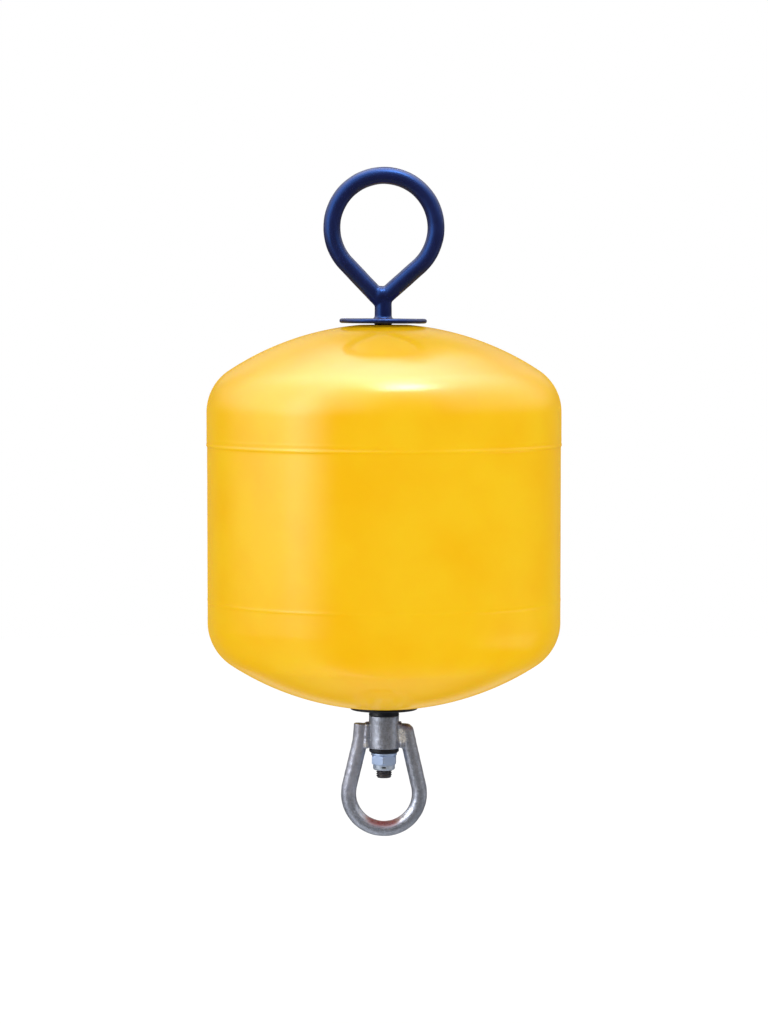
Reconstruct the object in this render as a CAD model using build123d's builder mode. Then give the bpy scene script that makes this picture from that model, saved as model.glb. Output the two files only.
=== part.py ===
from build123d import *
from math import asin, atan2, cos, hypot, radians, sin, sqrt, tan
import os

os.makedirs("parts", exist_ok=True)

# Mooring buoy in millimetres. The origin is on the bar's axis at the unladen waterline, +Z up.
# A steel bar runs through a moulded float: its eye is above, a swivel eye hangs below.
# Both eyes lie in the XZ plane.

# Float: one moulded hull with a dome at each end
waterline_height = 92.0         # unladen waterline above the bottom land
float_height = 484.5            # bottom land to top land
float_diameter = 450.0
crown_radius = 357.0            # shallow middle of each dome
knuckle_radius = 63.0           # tighter turn from the dome into the wall
top_land_radius = 30.0          # flat round the bar at the top
bottom_land_radius = 55.0       # flat that the flanged bush bears on
wall_step = 0.6                 # the wall below the upper mould line stands in by this much
upper_seam_drop = 41.4          # upper mould line below the top of the straight wall
lower_seam_rise = 29.4          # lower mould line above the foot of the straight wall
seam_width = 5.0
seam_proud = 0.8                # bead of a mould line, proud of the wall
bore_clearance = 1.15           # float's bore round the coated bar

# Eye bar: round steel, bent to an eye, welded shut and dip coated down into the float
bar_diameter = 20.0
coat_thickness = 0.85
coated_depth = 70.0             # coat reaches this far below the top land
eye_inner_diameter = 110.0
leg_angle = 46.2                # each leg of the eye, degrees from the bar's axis
neck_height = 23.5              # flange to the point where the legs meet
crotch_bulge = 1.3              # weld under the coat, proud of the bar where the legs meet
root_gap = 3.5                  # ends of legs and neck inside that weld, off the meeting point
end_chamfer = 1.8

# Top flange: coated steel disc welded round the bar
top_flange_diameter = 111.0
top_flange_thickness = 6.0
top_flange_edge = 1.8           # bevel of the rim, above and below
top_flange_play = 1.8           # room between flange and float
neck_weld = 5.0                 # weld and coat at the foot of the neck
weld_clearance = 0.1

# Bushes: black nylon, one above and one below the swivel tube, each with a sleeve inside it
bush_disc_diameter = 86.0
bush_disc_thickness = 5.2
bush_disc_edge = 1.2
collar_height = 7.6
collar_top_diameter = 36.4
collar_end_diameter = 39.0
thrust_bush_diameter = 38.0
thrust_bush_thickness = 5.2
thrust_bush_chamfer = 2.0
sleeve_wall = 3.0
sleeve_length = 13.0
bush_clearance = 0.1            # bushes on the bar
swivel_clearance = 0.3          # swivel tube round the sleeves and between the bushes

# Swivel eye: thick tube with a bent bar welded to its sides, hot-dip galvanised
tube_diameter = 38.4
tube_height = 42.2
tube_edge = 0.8
loop_bar_diameter = 19.5
loop_inner_diameter = 71.0
loop_clear_height = 56.0        # bar's end to the inside of the loop
arm_drop = 10.5                 # top of the arms below the top of the tube
arm_straight = 19.5             # upright stretch of each arm, beside the tube
arm_bend_radius = 30.0
cope_depth = 0.5                # each arm is hollowed to sit this far over the tube
weld_reach = 8.5                # weld metal, out from the plane of the loop
weld_end_rise = 3.0             # lower end of the weld above the tube's lower end
weld_cap_width = 3.8            # weld on the cut top of each arm, out from the tube
weld_cap_height = 3.2           # and up along it

# Fastening: plain washer and lock nut with a nylon ring, size M20
washer_diameter = 33.0
washer_thickness = 3.0
washer_clearance = 0.5
HEX_SIDES = 6
nut_across_flats = 30.0
nut_hex_height = 11.8
nut_bevel_angle = 30.0
nut_crown_height = 7.4
nut_crown_diameter = 28.0
nut_crown_edge = 2.0
nut_clearance = 0.1
ring_wall = 2.0                 # nylon ring inside the crown
ring_height = 4.6
ring_lip = 0.8                  # crown turned in under the nylon ring
bar_stub = 10.0                 # bar's end below the nut

# Radii and levels that follow from the sizes above
float_radius = float_diameter / 2
bar_radius = bar_diameter / 2
coated_radius = bar_radius + coat_thickness
bush_bore = bar_radius + bush_clearance
sleeve_radius = bush_bore + sleeve_wall
tube_radius = tube_diameter / 2
tube_bore = sleeve_radius + swivel_clearance
loop_bar_radius = loop_bar_diameter / 2

float_bottom = -waterline_height
float_top = float_bottom + float_height
flange_bottom = float_top + top_flange_play
flange_top = flange_bottom + top_flange_thickness
crotch_level = flange_top + neck_height
bush_disc_bottom = float_bottom - bush_disc_thickness
collar_end = bush_disc_bottom - collar_height
tube_top = collar_end - swivel_clearance
tube_bottom = tube_top - tube_height
thrust_bush_top = tube_bottom - swivel_clearance
thrust_bush_bottom = thrust_bush_top - thrust_bush_thickness
washer_bottom = thrust_bush_bottom - washer_thickness
hex_bottom = washer_bottom - nut_hex_height
crown_bottom = hex_bottom - nut_crown_height
bar_end = crown_bottom - bar_stub

# Float, turned from one half section: bore, lands, domes, wall and the two mould lines
lower_wall_radius = float_radius - wall_step
float_bore = coated_radius + bore_clearance
top_crown_centre = float_top - sqrt(crown_radius**2 - top_land_radius**2)
bottom_crown_centre = float_bottom + sqrt(crown_radius**2 - bottom_land_radius**2)
crown_reach = crown_radius - knuckle_radius
top_knuckle_level = top_crown_centre + sqrt(crown_reach**2 - (float_radius - knuckle_radius) ** 2)
bottom_knuckle_level = bottom_crown_centre - sqrt(
    crown_reach**2 - (lower_wall_radius - knuckle_radius) ** 2
)
upper_seam = top_knuckle_level - upper_seam_drop
lower_seam = bottom_knuckle_level + lower_seam_rise


def toward(centre, target, distance):
    """Point at a distance from the centre, on the line through the target."""
    span = hypot(target[0] - centre[0], target[1] - centre[1])
    return (
        centre[0] + (target[0] - centre[0]) * distance / span,
        centre[1] + (target[1] - centre[1]) * distance / span,
    )


def halfway(centre, first, last):
    """Middle of the short arc from first to last round the centre."""
    middle = ((first[0] + last[0]) / 2, (first[1] + last[1]) / 2)
    return toward(centre, middle, hypot(first[0] - centre[0], first[1] - centre[1]))


top_crown = (0.0, top_crown_centre)
top_knuckle = (float_radius - knuckle_radius, top_knuckle_level)
bottom_crown = (0.0, bottom_crown_centre)
bottom_knuckle = (lower_wall_radius - knuckle_radius, bottom_knuckle_level)
top_turn = toward(top_crown, top_knuckle, crown_radius)
bottom_turn = toward(bottom_crown, bottom_knuckle, crown_radius)
top_land_edge = (top_land_radius, float_top)
bottom_land_edge = (bottom_land_radius, float_bottom)
top_wall_end = (float_radius, top_knuckle_level)
bottom_wall_end = (lower_wall_radius, bottom_knuckle_level)
upper_seam_top = (float_radius, upper_seam + seam_width / 2)
upper_seam_end = (lower_wall_radius, upper_seam - seam_width / 2)
lower_seam_top = (lower_wall_radius, lower_seam + seam_width / 2)
lower_seam_end = (lower_wall_radius, lower_seam - seam_width / 2)

with BuildPart() as float_hull:
    with BuildSketch(Plane.XZ):
        with BuildLine():
            Line((float_bore, float_bottom), (float_bore, float_top))
            Line((float_bore, float_top), top_land_edge)
            ThreePointArc(top_land_edge, halfway(top_crown, top_land_edge, top_turn), top_turn)
            ThreePointArc(top_turn, halfway(top_knuckle, top_turn, top_wall_end), top_wall_end)
            Line(top_wall_end, upper_seam_top)
            Polyline(upper_seam_top, (float_radius + seam_proud, upper_seam), upper_seam_end)
            Line(upper_seam_end, lower_seam_top)
            Polyline(lower_seam_top, (lower_wall_radius + seam_proud, lower_seam), lower_seam_end)
            Line(lower_seam_end, bottom_wall_end)
            ThreePointArc(
                bottom_wall_end, halfway(bottom_knuckle, bottom_wall_end, bottom_turn), bottom_turn
            )
            ThreePointArc(
                bottom_turn, halfway(bottom_crown, bottom_turn, bottom_land_edge), bottom_land_edge
            )
            Line(bottom_land_edge, (float_bore, float_bottom))
        make_face()
    revolve(axis=Axis.Z)
float_hull.part.label = "float"
export_step(float_hull.part, "parts/float.step")

# Eye bar: the legs are tangents to the eye's circle, and their weld is on the bar's axis
eye_radius = eye_inner_diameter / 2 + coated_radius
leg_lean = radians(leg_angle)
leg_length = eye_radius / tan(leg_lean)
eye_level = crotch_level + eye_radius / sin(leg_lean)
eye_top = (0.0, eye_level + eye_radius)
neck_end = crotch_level - root_gap
coat_end = float_top - coated_depth

with BuildPart() as eye_bar:
    with Locations((0, 0, crotch_level)):
        Sphere(coated_radius + crotch_bulge)
    for side in (-1, 1):
        leg_root = (side * root_gap * sin(leg_lean), crotch_level + root_gap * cos(leg_lean))
        leg_end = (side * leg_length * sin(leg_lean), crotch_level + leg_length * cos(leg_lean))
        with BuildLine(Plane.XZ) as half_eye:
            leg = Line(leg_root, leg_end)
            TangentArc(leg_end, eye_top, tangent=leg % 1)
        with BuildSketch(Plane(half_eye.line @ 0, z_dir=half_eye.line % 0)):
            Circle(coated_radius)
        sweep(path=half_eye.line)
    with BuildSketch(Plane.XZ):
        with BuildLine():
            Polyline(
                (0, bar_end),
                (bar_radius - end_chamfer, bar_end),
                (bar_radius, bar_end + end_chamfer),
                (bar_radius, coat_end),
                (coated_radius, coat_end),
                (coated_radius, neck_end),
                (0, neck_end),
                close=True,
            )
        make_face()
    revolve(axis=Axis.Z)
eye_bar.part.label = "eye_bar"
export_step(eye_bar.part, "parts/eye_bar.step")

# Top flange, turned: bevelled rim, flat faces and the weld at the foot of the neck
flange_radius = top_flange_diameter / 2
flange_bore = coated_radius + weld_clearance

with BuildPart() as top_flange:
    with BuildSketch(Plane.XZ):
        with BuildLine():
            Polyline(
                (flange_bore, flange_bottom),
                (flange_radius, flange_bottom),
                (flange_radius, flange_top),
                (flange_bore + neck_weld, flange_top),
                (flange_bore, flange_top + neck_weld),
                close=True,
            )
        make_face()
    revolve(axis=Axis.Z)
    rim = top_flange.edges().filter_by(GeomType.CIRCLE).group_by(SortBy.RADIUS)[-1]
    chamfer(rim, top_flange_edge)
top_flange.part.label = "top_flange"
export_step(top_flange.part, "parts/top_flange.step")

# Flanged bush, turned: disc under the float, flared collar and the sleeve inside the swivel tube
with BuildPart() as flanged_bush:
    with BuildSketch(Plane.XZ):
        with BuildLine():
            Polyline(
                (bush_bore, float_bottom),
                (bush_disc_diameter / 2, float_bottom),
                (bush_disc_diameter / 2, bush_disc_bottom),
                (collar_top_diameter / 2, bush_disc_bottom),
                (collar_end_diameter / 2, collar_end),
                (sleeve_radius, collar_end),
                (sleeve_radius, collar_end - sleeve_length),
                (bush_bore, collar_end - sleeve_length),
                close=True,
            )
        make_face()
    revolve(axis=Axis.Z)
    disc_rim = flanged_bush.edges().filter_by(GeomType.CIRCLE).group_by(SortBy.RADIUS)[-1]
    chamfer(disc_rim.sort_by(Axis.Z)[0], bush_disc_edge)
flanged_bush.part.label = "flanged_bush"
export_step(flanged_bush.part, "parts/flanged_bush.step")

# Swivel tube that turns on the two sleeves
with BuildPart() as swivel_tube:
    with BuildSketch(Plane.XY.offset(tube_bottom)):
        Circle(tube_radius)
        Circle(tube_bore, mode=Mode.SUBTRACT)
    extrude(amount=tube_height)
    chamfer(swivel_tube.edges().filter_by(GeomType.CIRCLE).group_by(SortBy.RADIUS)[-1], tube_edge)
swivel_tube.part.label = "swivel_tube"
export_step(swivel_tube.part, "parts/swivel_tube.step")

# Swivel loop: each arm is upright beside the tube, bends out and runs as a tangent into the loop
loop_radius = loop_inner_diameter / 2 + loop_bar_radius
loop_level = bar_end - loop_clear_height + loop_inner_diameter / 2
arm_x = tube_radius + loop_bar_radius - cope_depth
arm_top = tube_top - arm_drop
bend_level = arm_top - arm_straight
bend_span = hypot(arm_x, bend_level - loop_level)
arm_lean = asin(loop_radius / bend_span) - atan2(arm_x, bend_level - loop_level)
arm_length = sqrt(bend_span**2 - loop_radius**2)
loop_tangent = (arm_x + arm_length * sin(arm_lean), bend_level - arm_length * cos(arm_lean))


def bent_loop(section_radius):
    """Bar bent to the loop's line, before its arms are hollowed for the tube."""
    with BuildPart() as bar:
        with BuildLine(Plane.XZ) as line:
            right = FilletPolyline((arm_x, arm_top), (arm_x, bend_level), loop_tangent, radius=arm_bend_radius)
            mirror(right, about=Plane.YZ)
            ThreePointArc(
                loop_tangent, (0, loop_level - loop_radius), (-loop_tangent[0], loop_tangent[1])
            )
        with BuildSketch(Plane.XY.offset(arm_top)):
            with Locations((arm_x, 0)):
                Circle(section_radius)
        sweep(path=line.wires()[0])
    return bar.part


with BuildPart() as swivel_loop:
    add(bent_loop(loop_bar_radius))
    with BuildSketch(Plane.XY.offset(tube_bottom)):
        Circle(tube_radius + weld_clearance)
    extrude(amount=tube_height, mode=Mode.SUBTRACT)
swivel_loop.part.label = "swivel_loop"
export_step(swivel_loop.part, "parts/swivel_loop.step")

# Swivel welds: metal that fills the hollow between each arm and the tube, front, back and on top
weld_bottom = tube_bottom + weld_end_rise
weld_top = arm_top + weld_cap_height
with BuildPart() as swivel_welds:
    with BuildSketch(Plane.XZ):
        with BuildLine():
            Polyline(
                (0, weld_bottom),
                (arm_x, weld_bottom),
                (arm_x, arm_top),
                (tube_radius + weld_cap_width, arm_top),
                (tube_radius, weld_top),
                (0, weld_top),
                close=True,
            )
        make_face()
        mirror(about=Plane.YZ)
    extrude(amount=weld_reach, both=True)
    with BuildSketch(Plane.XY.offset(tube_bottom)):
        Circle(tube_radius + weld_clearance)
    extrude(amount=tube_height, mode=Mode.SUBTRACT)
    add(bent_loop(loop_bar_radius + weld_clearance), mode=Mode.SUBTRACT)
swivel_welds.part.label = "swivel_welds"
export_step(swivel_welds.part, "parts/swivel_welds.step")

# Thrust bush that carries the swivel tube, with its own sleeve
with BuildPart() as thrust_bush:
    with BuildSketch(Plane.XY.offset(thrust_bush_bottom)):
        Circle(thrust_bush_diameter / 2)
    extrude(amount=thrust_bush_thickness)
    chamfer(thrust_bush.edges().sort_by(Axis.Z)[0], thrust_bush_chamfer)
    with BuildSketch(Plane.XY.offset(thrust_bush_top)):
        Circle(sleeve_radius)
    extrude(amount=sleeve_length)
    with BuildSketch(Plane.XY.offset(thrust_bush_bottom)):
        Circle(bush_bore)
    extrude(amount=thrust_bush_thickness + sleeve_length, mode=Mode.SUBTRACT)
thrust_bush.part.label = "thrust_bush"
export_step(thrust_bush.part, "parts/thrust_bush.step")

# Plain washer
with BuildPart() as end_washer:
    with BuildSketch(Plane.XY.offset(washer_bottom)):
        Circle(washer_diameter / 2)
        Circle(bar_radius + washer_clearance, mode=Mode.SUBTRACT)
    extrude(amount=washer_thickness)
end_washer.part.label = "end_washer"
export_step(end_washer.part, "parts/end_washer.step")

# Lock nut: bevelled hexagon, round crown turned in at its end, and the seat of the nylon ring
nut_bore = bar_radius + nut_clearance
ring_bore = nut_bore
ring_radius = ring_bore + ring_wall
ring_bottom = crown_bottom + ring_lip
ring_top = ring_bottom + ring_height
hex_radius = nut_across_flats / 2
half_sector = 180 / HEX_SIDES
corner_radius = hex_radius / cos(radians(half_sector))
bevel_height = (corner_radius - hex_radius) * tan(radians(nut_bevel_angle))

with BuildPart() as lock_nut:
    with BuildSketch(Plane.XY.offset(hex_bottom)):
        RegularPolygon(hex_radius, HEX_SIDES, major_radius=False, rotation=half_sector)
    extrude(amount=nut_hex_height)
    with BuildSketch(Plane.XZ):
        with BuildLine():
            Polyline(
                (0, hex_bottom),
                (hex_radius, hex_bottom),
                (corner_radius, hex_bottom + bevel_height),
                (corner_radius, washer_bottom - bevel_height),
                (hex_radius, washer_bottom),
                (0, washer_bottom),
                close=True,
            )
        make_face()
    revolve(axis=Axis.Z, mode=Mode.INTERSECT)
    with BuildSketch(Plane.XY.offset(crown_bottom)):
        Circle(nut_crown_diameter / 2)
    extrude(amount=nut_crown_height)
    chamfer(lock_nut.edges().sort_by(Axis.Z)[0], nut_crown_edge)
    with BuildSketch(Plane.XY.offset(crown_bottom)):
        Circle(nut_bore)
    extrude(amount=washer_bottom - crown_bottom, mode=Mode.SUBTRACT)
    with BuildSketch(Plane.XY.offset(ring_bottom)):
        Circle(ring_radius + nut_clearance)
    extrude(amount=ring_height + nut_clearance, mode=Mode.SUBTRACT)
    with BuildSketch(Plane.XY.offset(crown_bottom)):
        Circle(ring_radius - ring_lip)
    extrude(amount=ring_lip, mode=Mode.SUBTRACT)
lock_nut.part.label = "lock_nut"
export_step(lock_nut.part, "parts/lock_nut.step")

# Nylon ring that grips the bar inside the crown
with BuildPart() as nut_ring:
    with BuildSketch(Plane.XY.offset(ring_bottom)):
        Circle(ring_radius)
        Circle(ring_bore, mode=Mode.SUBTRACT)
    extrude(amount=ring_height)
nut_ring.part.label = "nut_ring"
export_step(nut_ring.part, "parts/nut_ring.step")
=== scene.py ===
from math import asin, atan2, cos, pi, radians, sin, tan

import bmesh
import bpy
import numpy as np
from mathutils import Matrix, Vector, noise


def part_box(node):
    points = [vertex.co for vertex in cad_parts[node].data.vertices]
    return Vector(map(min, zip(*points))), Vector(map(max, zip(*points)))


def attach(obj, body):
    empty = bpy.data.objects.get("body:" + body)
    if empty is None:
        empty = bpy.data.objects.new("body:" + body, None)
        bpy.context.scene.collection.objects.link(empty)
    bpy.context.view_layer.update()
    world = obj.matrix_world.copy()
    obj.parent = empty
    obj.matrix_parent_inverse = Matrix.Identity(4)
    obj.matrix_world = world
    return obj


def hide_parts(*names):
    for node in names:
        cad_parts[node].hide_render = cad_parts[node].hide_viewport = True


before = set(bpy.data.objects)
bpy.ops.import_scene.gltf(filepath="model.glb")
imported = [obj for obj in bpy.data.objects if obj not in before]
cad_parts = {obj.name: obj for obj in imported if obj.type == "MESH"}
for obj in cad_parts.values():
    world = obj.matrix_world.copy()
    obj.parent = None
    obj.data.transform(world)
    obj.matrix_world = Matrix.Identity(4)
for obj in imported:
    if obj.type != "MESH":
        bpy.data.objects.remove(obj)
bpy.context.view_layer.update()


# Float: one hollow hull of yellow polyethylene, moulded by rotation in a two-part tool and filled with foam.
# A shallow dome at each end turns into the upright wall at a tight knuckle, two mould lines run round
# the wall, and the bar passes through a bore in the middle.

MM = 0.001

# The solid's mould lines stand out by the first height and set its box. The lines here are lower.
float_low, float_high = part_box("float")
solid_line_height = 0.8 * MM
hull_lengths = {
    "Top": float_high.z,
    "Bottom": float_low.z,
    "Wall Radius": float_high.x - solid_line_height,
    "Wall Step": 0.6 * MM,
    "Crown Radius": 357 * MM,
    "Knuckle Radius": 63 * MM,
    "Top Land Radius": 30 * MM,
    "Bottom Land Radius": 55 * MM,
    "Bore Radius": 12 * MM,
    "Upper Line Drop": 41.4 * MM,
    "Lower Line Rise": 29.4 * MM,
    "Bead Half Width": 3.2 * MM,
    "Upper Bead": 0.5 * MM,
    "Lower Bead": 0.22 * MM,
    "Second Line Gap": 7.0 * MM,
    "Second Bead": 0.12 * MM,
    "Ripple Depth": 0.3 * MM,
    "Ripple Height": 26 * MM,
    "Ripple Length": 240 * MM,
}
float_segments = 192
crown_steps = 40
knuckle_steps = 26
wall_rows = (40, 18, 56, 18, 12)
seam_gap = 0.01 * MM
band_gap = 0.02 * MM


def linear(hex_code):
    """Linear colour of an sRGB hex code."""
    channels = [int(hex_code[place:place + 2], 16) / 255 for place in (1, 3, 5)]
    return (*[c / 12.92 if c <= 0.04045 else ((c + 0.055) / 1.055) ** 2.4 for c in channels], 1.0)


def feed(tree, node, inputs):
    """Give a node's inputs, by name or in order, plain values or links from nodes and sockets."""
    for key, value in inputs.items() if isinstance(inputs, dict) else enumerate(inputs):
        socket = node.inputs[key]
        if isinstance(key, str):
            socket = next(s for s in node.inputs if s.enabled and s.name == key)
        for source in value if isinstance(value, list) else [value]:
            if isinstance(source, bpy.types.Node):
                source = next(s for s in source.outputs if s.enabled)
            if isinstance(source, bpy.types.NodeSocket):
                tree.links.new(source, socket)
            else:
                socket.default_value = source


def add(tree, kind, inputs=(), operation=None, **settings):
    """Add a node of a kind, named without its family, set its properties and feed its inputs."""
    families = ("GeometryNode", "ShaderNode", "FunctionNode")
    node = tree.nodes.new(next(family + kind for family in families if hasattr(bpy.types, family + kind)))
    if operation:
        node.operation = operation
    for name, value in settings.items():
        setattr(node, name, value)
    feed(tree, node, inputs)
    return node


def start_tree(name, **sizes):
    """Empty geometry tree with named inputs listed by kind, its input sockets and its output node."""
    tree = bpy.data.node_groups.new(name, "GeometryNodeTree")
    for kind, labels in {"Geometry": ["Geometry"], **sizes}.items():
        for label in labels:
            tree.interface.new_socket(label, in_out="INPUT", socket_type="NodeSocket" + kind)
    tree.interface.new_socket("Geometry", in_out="OUTPUT", socket_type="NodeSocketGeometry")
    return tree, tree.nodes.new("NodeGroupInput").outputs, tree.nodes.new("NodeGroupOutput")


def finish_tree(tree, geometry, given, result):
    """End of a tree: smooth shading, a plain mesh and the piece's material."""
    smoothed = add(tree, "SetShadeSmooth", {"Geometry": geometry})
    realized = add(tree, "RealizeInstances", {"Geometry": smoothed})
    dressed = add(tree, "SetMaterial", {"Geometry": realized, "Material": given["Material"]})
    feed(tree, result, {"Geometry": dressed})


def new_object(name, data):
    """New object in the scene."""
    item = bpy.data.objects.new(name, data)
    bpy.context.scene.collection.objects.link(item)
    return item


def settle(piece):
    """Replace a piece's live modifiers by the plain mesh that they give."""
    graph = bpy.context.evaluated_depsgraph_get()
    mesh = bpy.data.meshes.new_from_object(piece.evaluated_get(graph), depsgraph=graph)
    piece.modifiers.clear()
    piece.data = mesh
    return piece


def make(name, tree, sizes, line=()):
    """Piece made by a node tree from named sizes, and from a line of points where the tree takes one."""
    start = bpy.data.meshes.new(name)
    start.from_pydata([tuple(point) for point in line], [(i, i + 1) for i in range(len(line) - 1)], [])
    piece = new_object(name, start)
    modifier = piece.modifiers.new(name, "NODES")
    modifier.node_group = tree
    for item in tree.interface.items_tree:
        if item.in_out == "INPUT" and item.name in sizes:
            modifier[item.identifier] = sizes[item.name]
    return settle(piece)


# Tree that turns a section, drawn as a line of points at y = 0, once round the axis.
tree, given, result = start_tree("turned_section", Int=["Segments"])
points = add(tree, "AttributeDomainSize", {"Geometry": given["Geometry"]}, component="MESH")
rounds = add(tree, "Math", (given["Segments"], 1.0), "ADD")
grid = add(tree, "MeshGrid", {"Vertices X": rounds, "Vertices Y": points})
index = add(tree, "InputIndex")
along = add(tree, "Math", (index, points), "MODULO")
share = add(tree, "Math", (index, points), "DIVIDE")
turn = add(tree, "Math", (share,), "FLOOR")
whole = add(tree, "Math", (2 * pi, given["Segments"]), "DIVIDE")
angle = add(tree, "Math", (turn, whole), "MULTIPLY")
place = add(tree, "InputPosition")
sample = {"Geometry": given["Geometry"], "Value": place, "Index": along}
section = add(tree, "SampleIndex", sample, data_type="FLOAT_VECTOR", domain="POINT")
swung = add(tree, "VectorRotate", {"Vector": section, "Angle": angle}, rotation_type="Z_AXIS")
placed = add(tree, "SetPosition", {"Geometry": grid, "Position": swung})
joined = add(tree, "MergeByDistance", {"Geometry": placed, "Distance": seam_gap})
feed(tree, result, {"Geometry": joined})
turned_tree = tree

# Tree of one dome: crown arc and knuckle arc, from its land at level 0 down to the top of the wall.
dome_lengths = ["Wall Radius", "Crown Radius", "Knuckle Radius", "Land Radius"]
tree, given, result = start_tree("float_dome", Float=dome_lengths, Int=["Segments"])
tree.interface.new_socket("Drop", in_out="OUTPUT", socket_type="NodeSocketFloat")
crown, knuckle = given["Crown Radius"], given["Knuckle Radius"]
land_share = add(tree, "Math", (given["Land Radius"], crown), "DIVIDE")
land_angle = add(tree, "Math", (land_share,), "ARCCOSINE")
land_sine = add(tree, "Math", (land_angle,), "SINE")
crown_drop = add(tree, "Math", (land_sine, crown), "MULTIPLY")
inset = add(tree, "Math", (given["Wall Radius"], knuckle), "SUBTRACT")
reach = add(tree, "Math", (crown, knuckle), "SUBTRACT")
turn_share = add(tree, "Math", (inset, reach), "DIVIDE")
turn_angle = add(tree, "Math", (turn_share,), "ARCCOSINE")
turn_sine = add(tree, "Math", (turn_angle,), "SINE")
rise = add(tree, "Math", (turn_sine, reach), "MULTIPLY")
drop = add(tree, "Math", (crown_drop, rise), "SUBTRACT")
crown_sweep = add(tree, "Math", (turn_angle, land_angle), "SUBTRACT")
crown_level = add(tree, "Math", (crown_drop, -1.0), "MULTIPLY")
knuckle_sweep = add(tree, "Math", (turn_angle, -1.0), "MULTIPLY")
knuckle_level = add(tree, "Math", (drop, -1.0), "MULTIPLY")
crown_centre = add(tree, "CombineXYZ", {"Z": crown_level})
knuckle_centre = add(tree, "CombineXYZ", {"X": inset, "Z": knuckle_level})
dome_bands = []
for radius, start, sweep, centre, steps in (
    (crown, land_angle, crown_sweep, crown_centre, crown_steps),
    (knuckle, turn_angle, knuckle_sweep, knuckle_centre, knuckle_steps),
):
    bend = {"Resolution": steps, "Radius": radius, "Start Angle": start, "Sweep Angle": sweep}
    arc = add(tree, "CurveArc", bend, mode="RADIUS")
    stance = {"Geometry": arc, "Translation": centre, "Rotation": (pi / 2, 0, 0)}
    edge = add(tree, "CurveToMesh", {"Curve": add(tree, "Transform", stance)})
    blank = {"Geometry": edge, "Segments": given["Segments"]}
    dome_bands.append(add(tree, "Group", blank, node_tree=turned_tree))
dome_joined = add(tree, "JoinGeometry", {"Geometry": dome_bands})
feed(tree, result, {"Geometry": dome_joined, "Drop": drop})
dome_tree = tree

# Tree of the whole hull: two domes, the wall with its mould lines, the lands and the bore.
tree, given, result = start_tree("float_hull", Float=hull_lengths, Int=["Segments"], Material=["Material"])
top, bottom, bore = given["Top"], given["Bottom"], given["Bore Radius"]
wall_radius, half_width = given["Wall Radius"], given["Bead Half Width"]
foot_radius = add(tree, "Math", (wall_radius, given["Wall Step"]), "SUBTRACT")
domes = []
for radius, land in ((wall_radius, "Top Land Radius"), (foot_radius, "Bottom Land Radius")):
    dome = {label: given[label] for label in ("Crown Radius", "Knuckle Radius", "Segments")}
    dome.update({"Wall Radius": radius, "Land Radius": given[land]})
    domes.append(add(tree, "Group", dome, node_tree=dome_tree))
top_place = add(tree, "CombineXYZ", {"Z": top})
bottom_place = add(tree, "CombineXYZ", {"Z": bottom})
top_dome = add(tree, "Transform", {"Geometry": domes[0], "Translation": top_place})
turned_over = {"Geometry": domes[1], "Translation": bottom_place, "Rotation": (pi, 0, 0)}
bottom_dome = add(tree, "Transform", turned_over)
wall_top = add(tree, "Math", (top, domes[0].outputs["Drop"]), "SUBTRACT")
wall_foot = add(tree, "Math", (bottom, domes[1].outputs["Drop"]), "ADD")
upper_line = add(tree, "Math", (wall_top, given["Upper Line Drop"]), "SUBTRACT")
lower_line = add(tree, "Math", (wall_foot, given["Lower Line Rise"]), "ADD")
second_line = add(tree, "Math", (upper_line, given["Second Line Gap"]), "ADD")
line_edges = []
for line in (upper_line, lower_line):
    for side in ("ADD", "SUBTRACT"):
        line_edges.append(add(tree, "Math", (line, half_width), side))
levels = [wall_top, *line_edges, wall_foot]
straights = [
    ((wall_radius, high), (wall_radius, low), rows) for high, low, rows in zip(levels, levels[1:], wall_rows)
]
straights += [
    ((bore, top), (given["Top Land Radius"], top), 2),
    ((given["Bottom Land Radius"], bottom), (bore, bottom), 2),
    ((bore, bottom), (bore, top), 2),
]
bands = []
for first, last, rows in straights:
    ends = [add(tree, "CombineXYZ", {"X": radius, "Z": level}) for radius, level in (first, last)]
    span = {"Count": rows, "Start Location": ends[0], "Offset": ends[1]}
    straight = add(tree, "MeshLine", span, mode="END_POINTS")
    blank = {"Geometry": straight, "Segments": given["Segments"]}
    bands.append(add(tree, "Group", blank, node_tree=turned_tree))
wall_bands, inner_bands = bands[:len(wall_rows)], bands[len(wall_rows):]
wall = add(tree, "JoinGeometry", {"Geometry": wall_bands})
place = add(tree, "InputPosition")
parts = add(tree, "SeparateXYZ", {"Vector": place}).outputs
step_back = add(tree, "Math", (given["Wall Step"], -1.0), "MULTIPLY")
below_line = {"From Min": line_edges[1], "From Max": upper_line, "To Min": step_back, "To Max": 0.0}
relief = add(tree, "MapRange", {"Value": parts["Z"], **below_line}, interpolation_type="SMOOTHSTEP")
for line, height in ((upper_line, "Upper Bead"), (lower_line, "Lower Bead"), (second_line, "Second Bead")):
    away = add(tree, "Math", (parts["Z"], line), "SUBTRACT")
    distance = add(tree, "Math", (away,), "ABSOLUTE")
    hump = {"From Min": 0.0, "From Max": half_width, "To Min": given[height], "To Max": 0.0}
    bead = add(tree, "MapRange", {"Value": distance, **hump}, interpolation_type="SMOOTHSTEP")
    relief = add(tree, "Math", (relief, bead), "ADD")
flat = add(tree, "CombineXYZ", {"X": parts["X"], "Y": parts["Y"]})
outward = add(tree, "VectorMath", (flat,), "NORMALIZE")
offset = add(tree, "VectorMath", {0: outward, "Scale": relief}, "SCALE")
beaded = add(tree, "SetPosition", {"Geometry": wall, "Offset": offset})
hull = add(tree, "JoinGeometry", {"Geometry": [top_dome, beaded, bottom_dome] + inner_bands})
welded = add(tree, "MergeByDistance", {"Geometry": hull, "Distance": band_gap})
length, height = given["Ripple Length"], given["Ripple Height"]
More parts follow.
